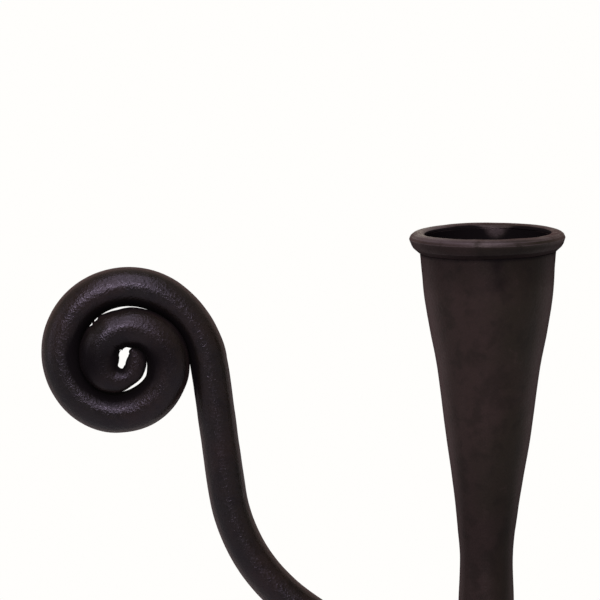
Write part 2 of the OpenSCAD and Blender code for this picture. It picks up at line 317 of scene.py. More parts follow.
def hammer(wires, geometry, given):
    """Moves each point along its normal, by broad hammer marks and finer ones in them."""
    place = wires.node("GeometryNodeInputPosition").scaled(1 / given["Blow"])
    normal = wires.node("GeometryNodeInputNormal")
    broad = place.clouds(1.0, 1, 0.4) - 0.5
    fine = place.clouds(0.3, 2, 0.5, 5.0) - 0.5
    push = (broad + fine * 0.22) * given["Depth"]
    sockets = {"Geometry": geometry, "Offset": normal.scaled(push)}
    return wires.node("GeometryNodeSetPosition", sockets)


def end_tree(wires, geometry, given):
    """Smooth shading and the piece's material, then the tree's output."""
    geometry = wires.node("GeometryNodeSetShadeSmooth", {"Geometry": geometry})
    sockets = {"Geometry": geometry, "Material": given["Finish"]}
    geometry = wires.node("GeometryNodeSetMaterial", sockets)
    geometry = wires.node("GeometryNodeRealizeInstances", {"Geometry": geometry})
    wires.node("NodeGroupOutput", {"Geometry": geometry})
    return wires.tree


labels = [("Blow", "Float"), ("Depth", "Float"), ("Finish", "Material")]
wires, given = new_tree("hand_work", labels)
hand_work = end_tree(wires, hammer(wires, given["Geometry"], given), given)


def worked(piece, tree, **inputs):
    """Runs a tree on a piece with these inputs, and keeps the result as its plain mesh."""
    modifier = piece.modifiers.new(tree.name, "NODES")
    modifier.node_group = tree
    for item in tree.interface.items_tree:
        if item.in_out == "INPUT" and item.name in inputs:
            modifier[item.identifier] = inputs[item.name]
    graph = bpy.context.evaluated_depsgraph_get()
    piece.data = bpy.data.meshes.new_from_object(piece.evaluated_get(graph))
    piece.modifiers.clear()
    return piece


def clamped(value):
    """The value, kept from 0 to 1."""
    return min(max(value, 0), 1)


def out_of_true(piece):
    """Bows the cup a little towards +X, and leaves its rim uneven.

    The rim is thinner from top to bottom at +X and a little fuller there just under the
    mouth, and its top is lower at -X and in front.
    """
    bow_top = 8 * mm
    bow_length = 104 * mm
    for vert in piece.data.vertices:
        depth = rim_top - vert.co.z
        side = clamped(0.5 + vert.co.x / rim_r / 2)
        front = clamped(-vert.co.y / rim_r)
        bow = math.sin(math.pi * clamped((depth - bow_top) / bow_length)) ** 0.7
        near_rim = clamped(1.5 - depth / (12 * mm))
        near_top = max(1 - depth / (5 * mm), 0)
        near_bow = max(1 - abs(depth - bow_top) / (6 * mm), 0)
        vert.co.z += min(depth, 9 * mm) * 0.17 * side**1.5 * near_rim
        vert.co.z -= (0.35 * mm * front + 0.9 * mm * (1 - side) ** 5) * near_top
        vert.co.x += 0.55 * mm * bow - 0.45 * mm * near_rim * (1 - side)
        vert.co.x += 0.45 * mm * near_bow * max(2 * side - 1, 0)


def gather_painted_shade(piece, neighbours, reach, rays=20):
    """Stores at each point, as painted shade, which share of what it faces is iron within reach.
    """
    verts = []
    faces = []
    for other in [piece] + neighbours:
        start = len(verts)
        verts += [vert.co.copy() for vert in other.data.vertices]
        faces += [[start + i for i in face.vertices] for face in other.data.polygons]
    tree = BVHTree.FromPolygons(verts, faces)
    golden_turn = math.pi * (3 - math.sqrt(5))
    clear_of_skin = 0.15 * mm
    painted_shade = []
    for vert in piece.data.vertices:
        to_normal = vert.normal.to_track_quat("Z", "Y")
        start = vert.co + vert.normal * clear_of_skin
        hits = 0
        for k in range(rays):
            height = math.sqrt(1 - (k + 0.5) / rays)
            flat = math.sqrt(1 - height * height)
            turn = golden_turn * k
            ray = Vector((flat * math.cos(turn), flat * math.sin(turn), height))
            hits += tree.ray_cast(start, to_normal @ ray, reach)[0] is not None
        painted_shade.append(hits / rays)
    stored = piece.data.attributes.new("painted_shade", "FLOAT", "POINT")
    stored.data.foreach_set("value", painted_shade)


def mark(piece, label, amount, nearness):
    """Adds to a piece's painted shade, or to its wear and painted highlight, as label names.
    nearness is 1 or more at a mark, and 0 far off.
    """
    for vert, stored in zip(piece.data.vertices, piece.data.attributes[label].data):
        near = clamped(nearness(vert.co))
        stored.value += amount * near * near * (3 - 2 * near)


def fit_in(piece, slot, *nodes):
    """Dresses the piece back to the drawing's box, and sets it in for these nodes."""
    for vert in piece.data.vertices:
        for k in range(3):
            vert.co[k] = max(cad_low[k], min(vert.co[k], cad_high[k]))
    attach(piece, "root")
    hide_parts(*nodes)


def blend4(a, b, c, d, t):
    """Catmull-Rom value at share t between b and c."""
    turn = 2 * a - 5 * b + 4 * c - d
    return 0.5 * (2 * b + (c - a) * t + turn * t * t + (3 * b - a - 3 * c + d) * t**3)


def smooth_line(points, steps):
    """A smooth curve through (r, z) points."""
    line = []
    last = len(points) - 1
    for i in range(last):
        four = [points[max(i - 1, 0)], points[i], points[i + 1], points[min(i + 2, last)]]
        for s in range(steps):
            line.append(tuple(blend4(*[p[k] for p in four], s / steps) for k in (0, 1)))
    return line + [points[last]]


rim_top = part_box("cup_rim")[1].z
rim_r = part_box("cup_rim")[1].x
neck_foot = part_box("candle_cup")[0].z
pole_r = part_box("upper_pole")[1].x
cup_r = 24.85 * mm
cup_wall = 2.2 * mm
pole_wall = 2.9 * mm
bore_r = pole_r - pole_wall
cup_line = smooth_line(
    [
        (cup_r, rim_top - 2 * mm),
        (cup_r, rim_top - 8.5 * mm),
        (cup_r - 0.85 * mm, rim_top - 22.5 * mm),
        (cup_r - 3.2 * mm, rim_top - 37.5 * mm),
        (cup_r - 6.0 * mm, rim_top - 52.5 * mm),
        (15.45 * mm, rim_top - 78.5 * mm),
        (13.2 * mm, rim_top - 93 * mm),
        (11.55 * mm, rim_top - 104.5 * mm),
        (9.85 * mm, rim_top - 121 * mm),
        (pole_r + 0.35 * mm, rim_top - 139 * mm),
        (pole_r, neck_foot),
    ],
    10,
)
bore_line = [(max(r - cup_wall, bore_r), z) for r, z in reversed(cup_line)]
cup = turned("forged_candle_cup", cup_line + bore_line, 0.3 * mm, 1.3 * mm, 144)
worked(cup, hand_work, Blow=26 * mm, Depth=0.45 * mm, Finish=cup_finish)
out_of_true(cup)
fit_in(cup, "cup_finish", "candle_cup")

# ------------------------------------------------------------------------------------
# Rim
# Heavy flat bar bent into a ring, shrunk over the mouth and dressed with a hammer, so
# its edge is rounded and not quite even.
# ------------------------------------------------------------------------------------

rim_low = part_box("cup_rim")[0].z
mouth_r = cup_r - cup_wall
clearance = 0.05 * mm
rim = turned(
    "forged_rim",
    [
        (mouth_r, rim_top - 2 * mm),
        (mouth_r + 0.6 * mm, rim_top - 0.9 * mm),
        (mouth_r + 1.7 * mm, rim_top - 0.25 * mm),
        (mouth_r + 3.0 * mm, rim_top),
        (mouth_r + 4.5 * mm, rim_top - 0.4 * mm),
        (rim_r - 0.5 * mm, rim_top - 1.3 * mm),
        (rim_r, rim_top - 2.7 * mm),
        (rim_r - 0.9 * mm, rim_top - 5.3 * mm),
        (cup_r + 2.3 * mm, rim_low + 1.9 * mm),
        (cup_r + 0.5 * mm, rim_low + 0.3 * mm),
        (cup_r + clearance, rim_low),
        (cup_r + clearance, rim_top - 2 * mm),
    ],
    0.9 * mm,
    0.5 * mm,
    200,
)
worked(rim, hand_work, Blow=11 * mm, Depth=0.5 * mm, Finish=cup_finish)
out_of_true(rim)
inside_depth = 60 * mm
# Painted shade on the cup and rim where they face iron within reach: dark inside the mouth and
# under the rim
gather_painted_shade(cup, [rim], inside_depth)
gather_painted_shade(rim, [cup], inside_depth)
# Painted shade: darker towards the neck, and in a band under the rim where its shadow falls
neck_middle = Vector((0, 0, rim_top - 116 * mm))
mark(cup, "painted_shade", 0.23, lambda p: 1 - (p - neck_middle).length / (70 * mm))
mark(cup, "painted_shade", 0.19, lambda p: 1 - abs(p.z - rim_low) / (24 * mm))
# Two patches of painted shade in front, just under the mouth: how dark, how far across,
# how far below the mouth, and how wide
for amount, across, depth, reach in [(0.16, 2.5, 10.3, 4.5), (0.13, 3.3, 16.7, 5.5)]:
    shade_spot = Vector((across * mm, -24.5 * mm, rim_top - depth * mm))
    mark(cup, "painted_shade", amount, lambda p: 1 - (p - shade_spot).length / (reach * mm))
# The rim gets painted shade inside the mouth and on its face below the lip. Its lip gets a
# painted highlight, lighter and less rough, in front and at -X, and along the top at both sides
lip_r = mouth_r + 1.2 * mm
shaded_face_z = rim_top - 2.4 * mm
lip_highlight_z = rim_top - 2.6 * mm
side_highlight_z = rim_top - 1.6 * mm
toward_lip_highlight = Vector((-0.045, -0.012)) / mm
mark(rim, "painted_shade", 0.5, lambda p: (lip_r - p.xy.length) / (0.7 * mm))
mark(rim, "painted_shade", 0.24, lambda p: (shaded_face_z - p.z) / (1.4 * mm))
mark(rim, "worn_and_highlight", 1.0, lambda p: min((p.z - lip_highlight_z) / (0.7 * mm), 0.6 + p.xy.dot(toward_lip_highlight)))
mark(rim, "worn_and_highlight", 1.0, lambda p: min((p.z - side_highlight_z) / (0.8 * mm), abs(p.x) / (10 * mm) - 1.2))
# A patch at the back of the mouth has its painted shade taken off and a painted sheen put on
sheen_spot = Vector((4 * mm, 23.5 * mm, rim_top - 1.5 * mm))
mark(rim, "painted_shade", -0.8, lambda p: 1.2 - (p - sheen_spot).length / (9 * mm))
mark(cup, "painted_shade", -0.7, lambda p: 1.1 - (p - sheen_spot).length / (7 * mm))
mark(cup, "worn_and_highlight", 1.0, lambda p: 1.1 - (p - sheen_spot).length / (7 * mm))
fit_in(rim, "cup_finish", "cup_rim")

# ------------------------------------------------------------------------------------
# Candle seat
# A round plate dropped into the cup until it wedges in the taper. It is blacked with
# the cup, and its edge is broken with a file.
# ------------------------------------------------------------------------------------

seat_low, seat_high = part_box("candle_seat")
seat = turned(
    "candle_seat_plate",
    [
        (0, seat_high.z),
        (seat_high.x, seat_high.z),
        (seat_high.x - 0.6 * mm, seat_low.z),
        (0, seat_low.z),
    ],
    0.5 * mm,
    1.2 * mm,
    96,
)
worked(seat, hand_work, Blow=9 * mm, Depth=0.15 * mm, Finish=cup_finish)
out_of_true(seat)
fit_in(seat, "cup_finish", "candle_seat")

# ------------------------------------------------------------------------------------
# Spigot, inserts and studs
# Turned from bright steel bar and hidden inside the tubes and feet: they join the neck
# to the pole, the pole's two lengths to each other, and the glides to the feet.
# ------------------------------------------------------------------------------------


def turned_steel(name):
    """Bright bar with the fine rings that the lathe leaves."""
    material, wires = new_finish(name)
    place = wires.node("ShaderNodeTexCoord", out=3)
    stretched = wires.node(
        "ShaderNodeVectorMath", {0: place, 1: (0.02, 0.02, 1)}, operation="MULTIPLY"
    )
    ring_gap = 0.35 * mm
    rings = stretched.clouds(ring_gap, 2, 0.6)
    stain = place.clouds(6 * mm, 4, 0.6).stepped(0.5, 0.75)
    stain_tone = (0.26, 0.24, 0.22)
    bare = wires.colour((0.46, 0.45, 0.44))
    shader = wires.node(
        "ShaderNodeBsdfPrincipled",
        {
            "Base Color": bare.tint(stain_tone, stain * 0.6),
            "Metallic": 1.0,
            "Roughness": rings * 0.2 + 0.22,
            "Normal": wires.node("ShaderNodeBump", {"Distance": 0.06 * mm, "Height": rings}),
        },
    )
    wires.node("ShaderNodeOutputMaterial", {"Surface": shader})
    return material


inner_steel = turned_steel("inner_steel")
hidden_steel = ["neck_spigot", "upper_insert", "joint_stud", "lower_insert"]
hidden_steel += [f"glide_stud_{i}" for i in (1, 2, 3)]
for name in hidden_steel:
    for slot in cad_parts[name].material_slots:
        slot.link = "OBJECT"
        slot.material = inner_steel

# ------------------------------------------------------------------------------------
# Scroll arm
# Round bar, drawn down to a thin tip, rolled hot into a scroll of two turns and bent
# down to the pole, where its tenon goes through and is peened over a washer.
# ------------------------------------------------------------------------------------

bar_finish = iron_finish(
    "bar_finish",
    warm=(0.0078, 0.0048, 0.0034),
    cool=(0.0050, 0.0043, 0.0030),
    gloss_tint=(0.82, 0.67, 0.96),
    ior=1.30,
    cloud=26 * mm,
    grit=1.0,
    dull=0.29,
    shift=0.37,
)

labels = [("Sides", "Int"), ("Blow", "Float"), ("Depth", "Float"), ("Finish", "Material")]
wires, given = new_tree("rolled_bar", labels)
section = wires.node("GeometryNodeCurvePrimitiveCircle", {"Resolution": given["Sides"]})
path = wires.node("GeometryNodeMeshToCurve", {"Mesh": given["Geometry"]})
bar_radius = wires.node("GeometryNodeInputNamedAttribute", {"Name": "bar_radius"})
sockets = {"Curve": path, "Profile Curve": section, "Scale": bar_radius, "Fill Caps": True}
round_bar = wires.node("GeometryNodeCurveToMesh", sockets)
centre = wires.node("GeometryNodeInputNamedAttribute", {"Name": "bar_centre"})
flatter = wires.node("GeometryNodeInputNamedAttribute", {"Name": "bar_flatter"})
deep = wires.node("ShaderNodeSeparateXYZ", {0: wires.node("GeometryNodeInputPosition")}, out=1)
inwards = wires.node("ShaderNodeCombineXYZ", {1: (centre - deep) * flatter})
pressed = wires.node("GeometryNodeSetPosition", {"Geometry": round_bar, "Offset": inwards})
sockets = {"Geometry": pressed, "Distance": 0.02 * mm}
joined_up = wires.node("GeometryNodeMergeByDistance", sockets)
rolled_bar = end_tree(wires, hammer(wires, joined_up, given), given)


def eased(table, at):
    """The value at this place in a table of (place, value), easing from row to row."""
    for (low, first), (high, last) in zip(table, table[1:]):
        if at <= high:
            share = max(at - low, 0) / (high - low)
            return first + (last - first) * share * share * (3 - 2 * share)
    return table[-1][1]


def scroll_stations(turns, eye, leave_angle, spin, tip_r, taper, dish=0, swell=(), curl=0):
    """Stations (across, up, bar radius, deep, flatter) of a scroll, from its tip outwards.

    turns holds the centreline's radius at each quarter turn, and one value more that
    only sets the slope at which the bar leaves. The tip curls further in by curl degrees,
    and swell tells at which angle the bar is pressed wider, and by how many mm. Each turn
    stands forward of the one outside it by dish.
    """
    station_step = 3
    whole = 90 * (len(turns) - 2)
    swell = [(place, extra * mm) for place, extra in swell or [(0, 0), (whole, 0)]]
    stations = []
    angle = -curl
    while angle <= whole:
        i = min(max(int(angle // 90), 0), len(turns) - 3)
        near = [turns[max(i - 1, 0)], turns[i], turns[i + 1], turns[i + 2]]
        r = blend4(*near, angle / 90 - i)
        heading = math.radians(leave_angle + spin * (whole - angle))
        full = tip_r + (bar_r - tip_r) * min(1, (angle + curl) / (taper + curl))
        across = eye[0] + r * math.cos(heading)
        up = eye[1] + r * math.sin(heading)
        wide = full + eased(swell, angle)
        stations.append((across, up, wide, -dish * (whole - angle) / 360, 1 - full / wide))
        angle += station_step
    return stations


def leaving_heading(turns, leave_angle, spin):
    """The bar's heading, in degrees, where it leaves such a scroll."""
    slope = (turns[-1] - turns[-3]) / math.pi / turns[-2]
    return leave_angle - spin * (90 - math.degrees(math.atan(slope)))


def bend_stations(start, heading, bends):
    """Stations along bends of (radius, degrees) or straights of (length, 0)."""
    station_gap = 1.2 * mm
    across, up = start[:2]
    stations = []
    for size, turn in bends:
        length = size * math.radians(abs(turn)) if turn else size
        steps = max(1, round(length / station_gap))
        first = math.radians(heading)
        for s in range(1, steps + 1):
            if turn:
                now = math.radians(heading + turn * s / steps)
                arc = math.copysign(size, turn)
                x = across + arc * (math.sin(now) - math.sin(first))
                z = up - arc * (math.cos(now) - math.cos(first))
            else:
                x = across + size * s / steps * math.cos(first)
                z = up + size * s / steps * math.sin(first)
            stations.append((x, z, bar_r, 0.0, 0.0))
        across, up = stations[-1][:2]
        heading += turn
    return stations


def rounded_tip(stations):
    """The stations with a domed end before the first of them."""
    dome_height = 0.75
    x, z, r, y, _ = stations[0]
    step = Vector(stations[0][:2]) - Vector(stations[1][:2])
    step.normalize()
    dome = []
    for angle in (86, 74, 60, 45, 30, 15):
        out = r * dome_height * math.sin(math.radians(angle))
        round_r = r * math.cos(math.radians(angle))
        dome.append((x + step.x * out, z + step.y * out, round_r, y, 0.0))
    return dome + stations


def bar_along(name, stations, facing=0.0):
    """The path of a bar as a line of points, each with the bar's section there."""
    mesh = bpy.data.meshes.new(name)
    turn = math.radians(facing)
    points = []
    for x, z, _, y, _ in stations:
        out = (x * math.cos(turn) - y * math.sin(turn), x * math.sin(turn) + y * math.cos(turn))
        points.append((*out, z))
    mesh.from_pydata(points, [(i, i + 1) for i in range(len(points) - 1)], [])
    for label, column in [("bar_radius", 2), ("bar_centre", 3), ("bar_flatter", 4)]:
        stored = mesh.attributes.new(label, "FLOAT", "POINT")
        stored.data.foreach_set("value", [station[column] for station in stations])
    piece = bpy.data.objects.new(name, mesh)
    bpy.context.scene.collection.objects.link(piece)
    return piece


def lay_along_x(piece, x, z):
    """Turns a piece made on the Z axis to lie along +X, and moves its foot to (x, z)."""
    piece.data.transform(Matrix.Translation((x, 0, z)) @ Matrix.Rotation(math.pi / 2, 4, "Y"))


def take_in(piece, *others):
    """Makes the other pieces part of this one's mesh."""
    shape = bmesh.new()
    shape.from_mesh(piece.data)
    for other in others:
        shape.from_mesh(other.data)
        bpy.data.objects.remove(other)
    shape.to_mesh(piece.data)
    shape.free()


bar_r = 7 * mm
eye = (-136.7 * mm, rim_top - 47.4 * mm)
tip_r = 1.4 * mm
tip_taper = 240
tip_curl = 36
dish = 5.4 * mm
turns = [r * mm for r in (6.85, 6.85, 6.7, 11.3, 18.5, 19.95, 20.75, 26.4, 33.1, 46)]
swell = [(-36, 0.05), (-27, 0.85), (-18, 1.4), (-8, 1.65), (3, 1.62), (28, 1.2), (60, 0.4)]
swell += [(90, 1.0), (130, 1.75), (170, 1.75), (205, 1.15), (228, 0.65), (237, 0.5), (240, 0.1)]
swell += [(243, -0.2), (246, 0.6), (249, 0.0), (252, 0.1), (255, 0.65), (258, 0.65), (261, 0.5)]
swell += [(266, 0.3), (278, 0.1), (286, 0.4), (292, 0.62), (306, 0.56), (320, 0.7), (335, 0.9)]
swell += [(350, 1.05), (372, 0.9), (390, 0.5), (420, 0.8), (450, 0.55), (500, 0.45)]
swell += [(545, 0.62), (590, 0.4), (632, 0.3), (660, 0.3), (690, -0.3), (720, 0.1)]
scroll = scroll_stations(turns, eye, 0, 1, tip_r, tip_taper, dish, swell, tip_curl)
heading = leaving_heading(turns, 0, 1)
arm_bends = [(215 * mm, -3), (32 * mm, 0), (310 * mm, 1.5), (65 * mm, 40.5)]
descent = bend_stations(scroll[-1], heading, arm_bends)
root_turn = -(heading + sum(turn for _, turn in arm_bends))
spot_face = 13 * mm
root_bend = (-spot_face - descent[-1][0]) / math.sin(math.radians(root_turn))
root = bend_stations(descent[-1], -root_turn, [(root_bend, root_turn)])
arm = bar_along("forged_scroll_arm", rounded_tip(scroll) + descent + root)
worked(arm, rolled_bar, Sides=40, Blow=13 * mm, Depth=0.35 * mm, Finish=bar_finish)
# Painted shade where the arm faces its own turns within reach
gather_painted_shade(arm, [], 20 * mm)
# Painted shade between the turns and on the inner coil: how dark, how far across and up
# from the eye, and how wide
painted_shade_marks = [(0.24, 0, 0, 34), (0.6, -11, 0, 14), (0.4, 16, 2, 14), (0.08, 0, -19, 12)]
for amount, across, up, reach in painted_shade_marks:
    middle = Vector((eye[0] + across * mm, -6 * mm, eye[1] + up * mm))
    mark(arm, "painted_shade", amount, lambda p: 1 - (p - middle).length / (reach * mm))
arm_z = sum(corner.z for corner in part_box("arm_washer")) / 2
washer_t = 2 * mm
tenon_r = 4 * mm
tenon_in_bar = 1 * mm
tenon_l = tenon_in_bar + 2 * spot_face + washer_t
tenon = turned("tenon", [(0, 0), (tenon_r, 0), (tenon_r, tenon_l), (0, tenon_l)], 0, 4 * mm, 32)
lay_along_x(tenon, -spot_face - tenon_in_bar, arm_z)
peen = turned(
    "peened_head",
    [(0, 0), (6.2 * mm, 0), (6.5 * mm, 0.7 * mm), (5.2 * mm, 1.9 * mm), (2.6 * mm, 2.5 * mm)]
    + [(0, 2.6 * mm)],
    0.8 * mm,
    0.5 * mm,
    48,
)
lay_along_x(peen, spot_face + washer_t, arm_z)
worked(peen, hand_work, Blow=4 * mm, Depth=0.5 * mm, Finish=bar_finish)
take_in(arm, tenon, peen)
fit_in(arm, "bar_finish", "scroll_arm")

# ------------------------------------------------------------------------------------
# Arm collar and washer
# The collar is turned from bar, bored to slide over the seam of neck and pole, and spot
# faced on two sides. The washer is punched from plate and takes the arm's peened end.
# ------------------------------------------------------------------------------------


def bored_through(piece, *cutters):
    """Cuts the cutters out of a piece, and takes them away."""
    for cutter in cutters:
        modifier = piece.modifiers.new("cut", "BOOLEAN")
        modifier.operation = "DIFFERENCE"
        modifier.object = cutter
    graph = bpy.context.evaluated_depsgraph_get()
    piece.data = bpy.data.meshes.new_from_object(piece.evaluated_get(graph))
    piece.modifiers.clear()
    for cutter in cutters:
        bpy.data.objects.remove(cutter)


def upright_drill(length, radius, centre=(0, 0)):
    """A plain round cutter, up from the floor."""
    corners = [(0, 0), (radius, 0), (radius, length), (0, length)]
    return turned("drill", corners, 0, length, 48, centre)


def drill_along_x(x, length, radius):
    """A plain round cutter along +X from x, at the height of the arm's tenon."""
    cutter = upright_drill(length, radius)
    lay_along_x(cutter, x, arm_z)
    return cutter


def tenon_drill():
    """A cutter for the hole that the tenon goes through."""
    return drill_along_x(-2 * collar_r, 4 * collar_r, tenon_hole)


collar_r = 15 * mm
collar_half = 16 * mm
hole_r = pole_r + clearance
tenon_hole = tenon_r + clearance
spot_face_r = 9 * mm
lower_half = [
    (hole_r, -collar_half),
    (pole_r + 2 * mm, -collar_half),
    (pole_r + 3.2 * mm, -collar_half + 1.2 * mm),
    (pole_r + 3.2 * mm, -collar_half + 3.6 * mm),
    (pole_r + 2.4 * mm, -collar_half + 4.6 * mm),
    (collar_r, -collar_half + 8 * mm),
]
collar_line = [(r, arm_z + z) for r, z in lower_half]
collar_line += [(r, arm_z - z) for r, z in reversed(lower_half)]
collar = turned("turned_arm_collar", collar_line, 0.8 * mm, 0.8 * mm, 128)
bored_through(
    collar,
    drill_along_x(spot_face, 10 * mm, spot_face_r),
    drill_along_x(-spot_face - 10 * mm, 10 * mm, spot_face_r),
    tenon_drill(),
)
worked(collar, hand_work, Blow=10 * mm, Depth=0.10 * mm, Finish=bar_finish)
fit_in(collar, "bar_finish", "arm_collar")

washer_r = 8.5 * mm
washer = turned(
    "punched_arm_washer",
    [(tenon_hole, 0), (washer_r, 0), (washer_r, washer_t), (tenon_hole, washer_t)],
    0.5 * mm,
    0.5 * mm,
    64,
)
lay_along_x(washer, spot_face, arm_z)
worked(washer, hand_work, Blow=5 * mm, Depth=0.12 * mm, Finish=bar_finish)
fit_in(washer, "bar_finish", "arm_washer")

# ------------------------------------------------------------------------------------
# Pole
# Two lengths of drawn tube, which meet at a stud so that the stand packs flat. A turned
# knop hides the joint, and a turned drop is driven into the lower end.
# ------------------------------------------------------------------------------------

for node, name in [("upper_pole", "upper_pole_tube"), ("lower_pole", "lower_pole_tube")]:
    low, high = (corner.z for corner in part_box(node))
    tube = turned(
        name,
        [(pole_r, low), (pole_r, high), (bore_r, high), (bore_r, low)],
        0.4 * mm,
        3 * mm,
        72,
    )
    if low < arm_z < high:
        bored_through(tube, tenon_drill())
    worked(tube, hand_work, Blow=40 * mm, Depth=0.16 * mm, Finish=bar_finish)
    fit_in(tube, "bar_finish", node)

knop_low, knop_high = (corner.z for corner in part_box("joint_knop"))
joint_z = (knop_low + knop_high) / 2
knop_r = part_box("joint_knop")[1].x
knop_half = knop_high - joint_z
bead_root = pole_r + 1.2 * mm
bead_half = 9.5 * mm
bead = []
for degrees in range(-75, 76, 10):
    angle = math.radians(degrees)
    out = bead_root + (knop_r - bead_root) * math.cos(angle)
    bead.append((out, bead_half * math.sin(angle)))
knop_step = [
    (hole_r, -knop_half),
    (pole_r + 2.2 * mm, -knop_half),
    (pole_r + 3 * mm, -knop_half + 1 * mm),
    (pole_r + 3 * mm, -knop_half + 3 * mm),
    (pole_r + 2.2 * mm, -knop_half + 4 * mm),
]
knop_line = knop_step + bead + [(r, -z) for r, z in reversed(knop_step)]
knop_line = [(r, joint_z + z) for r, z in knop_line]
knop = turned("turned_joint_knop", knop_line, 0.6 * mm, 0.8 * mm, 128)
worked(knop, hand_work, Blow=12 * mm, Depth=0.10 * mm, Finish=bar_finish)
fit_in(knop, "bar_finish", "joint_knop")

pole_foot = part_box("lower_pole")[0].z
ball_r = 12.5 * mm
ball_z = pole_foot - 6 * mm - ball_r
ring_r = pole_r + 2.1 * mm
plug_r = bore_r - clearance
plug_top = pole_foot + 25 * mm
ball = []
for degrees in range(38, 170, 8):
    angle = math.radians(degrees)
    ball.append((ball_r * math.sin(angle), ball_z + ball_r * math.cos(angle)))
pole_drop = turned(
    "turned_pole_drop",
    [
        (0, plug_top),
        (plug_r, plug_top),
        (plug_r, pole_foot),
        (pole_r + 1.5 * mm, pole_foot),
        (ring_r, pole_foot - 1 * mm),
        (ring_r, pole_foot - 3 * mm),
        (pole_r + 1.5 * mm, pole_foot - 4 * mm),
        (7.5 * mm, pole_foot - 5 * mm),
    ]
    + ball
    + [
        (2.2 * mm, ball_z - ball_r - 1 * mm),
        (1.6 * mm, ball_z - ball_r - 3 * mm),
        (0, ball_z - ball_r - 3.6 * mm),
    ],
    0.6 * mm,
    0.8 * mm,
    112,
)
worked(pole_drop, hand_work, Blow=12 * mm, Depth=0.10 * mm, Finish=bar_finish)
fit_in(pole_drop, "bar_finish", "pole_drop")

# ------------------------------------------------------------------------------------
# Legs
# The same round bar as the arm, with a scroll rolled at the foot and a smaller one at
# the head, which ends just clear of the band. A flat is filed under each foot for its
# glide, and a hole drilled for the glide's stud.
# ------------------------------------------------------------------------------------


def glide_centre(i):
    """Where the middle of this foot's glide is on the floor."""
    low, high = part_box(f"foot_glide_{i}")
    return (low.x + high.x) / 2, (low.y + high.y) / 2


glide_low, glide_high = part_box("foot_glide_1")
glide_h = glide_high.z - glide_low.z
filed_flat = 0.8 * mm
stud_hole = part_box("glide_stud_1")[1].y + clearance
stud_hole_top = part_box("glide_stud_1")[1].z + 0.5 * mm
foot_x = (glide_low.x + glide_high.x) / 2
leg_axis = pole_r + bar_r + clearance
sole_z = glide_h + bar_r - filed_flat
leg_tip_r = 2.8 * mm
leg_taper = 200
foot_turns = [r * mm for r in (6, 7.5, 10.5, 15, 21, 26, 21)]
head_turns = [r * mm for r in (4.2, 6, 9, 12.6, 15.4, 12.6)]
head_cut_short = 72
foot_bend = 80 * mm
foot_pitch = 18
sweep_r = 120 * mm
leg_stand = 96 * mm
pitch = math.radians(foot_pitch)
bends_reach = foot_bend * math.sin(pitch) + sweep_r * (1 - math.sin(pitch))
slope = (foot_x - leg_axis - bends_reach) / math.cos(pitch)
foot_eye = (foot_x, sole_z + foot_turns[-2])
foot = scroll_stations(foot_turns, foot_eye, -90, 1, leg_tip_r, leg_taper)
leg_bends = [(foot_bend, -foot_pitch), (slope, 0), (sweep_r, foot_pitch - 90), (leg_stand, 0)]
sweep = bend_stations(foot[-1], 180, leg_bends)
leg_top = sweep[-1][1]
head_eye = (leg_axis + head_turns[-2], leg_top)
head = scroll_stations(
    head_turns, head_eye, 180, -1, leg_tip_r, leg_taper, curl=-head_cut_short
)
leg_path = rounded_tip(foot) + sweep + rounded_tip(head)[-2::-1]
for i in (1, 2, 3):
    leg = bar_along(f"forged_leg_{i}", leg_path, facing=120 * (i - 1))
    worked(leg, rolled_bar, Sides=28, Blow=13 * mm, Depth=0.35 * mm, Finish=bar_finish)
    for vert in leg.data.vertices:
        vert.co.z = max(vert.co.z, glide_h)
    bored_through(leg, upright_drill(stud_hole_top, stud_hole, glide_centre(i)))
    # Painted shade where a leg faces its own turns within reach
    gather_painted_shade(leg, [], 14 * mm, rays=10)
    fit_in(leg, "bar_finish", f"leg_{i}")

# ------------------------------------------------------------------------------------
# Leg bands
# Flat bar wrapped hot round the three legs and the pole between them. Its ends are
# lapped on one of the flats and welded in the fire.
# ------------------------------------------------------------------------------------


def round_leg(i, degrees, radius):
    """The point (x, y) at this radius from a leg's middle, on this side of it."""
    middle = math.radians(120 * i)
    angle = math.radians(120 * i + degrees)
    x = leg_axis * math.cos(middle) + radius * math.cos(angle)
    y = leg_axis * math.sin(middle) + radius * math.sin(angle)
    return Vector((x, y))


def band_path(radius, lap=0):
    """Points (x, y) round the three legs, further out by lap where the ends meet."""
    parts = 24
    lap_from = 9
    lap_parts = 7
    points = []
    for i in range(3):
        points += [round_leg(i, degrees, radius) for degrees in range(-60, 61, 5)]
        start = points[-1]
        end = round_leg(i + 1, -60, radius)
        out = Vector((end.y - start.y, start.x - end.x)).normalized()
        for k in range(1, parts):
            lapped = i == 1 and k >= lap_from
            raised = lap * max(0, 1 - (k - lap_from) / lap_parts) if lapped else 0
            points.append(start.lerp(end, k / parts) + out * raised)
    return points


band_t = 4 * mm
band_in = bar_r + clearance
band_lap = 0.9 * mm
inside = band_path(band_in)
outside = band_path(band_in + band_t, band_lap)
for place in ("upper", "lower"):
    node = f"{place}_leg_band"
    low, high = (corner.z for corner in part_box(node))
    corners = [(0, low), (band_t, low), (band_t, high), (0, high)]
    profile = soften(corners, 1.1 * mm, 1.3 * mm)
    rings = len(profile)
    verts = []
    wear = []
    for near, far in zip(inside, outside):
        for p, w in profile:
            verts.append((*near.lerp(far, p.x / band_t), p.y))
            wear.append(w)
    faces = []
    count = len(inside)
    for k in range(count):
        for i in range(rings):
            j = (i + 1) % rings
            there = (k + 1) % count * rings
            faces.append((k * rings + i, k * rings + j, there + j, there + i))
    band = closed_piece(f"wrapped_{place}_band", verts, faces, wear)
    worked(band, hand_work, Blow=9 * mm, Depth=0.5 * mm, Finish=bar_finish)
    fit_in(band, "bar_finish", node)

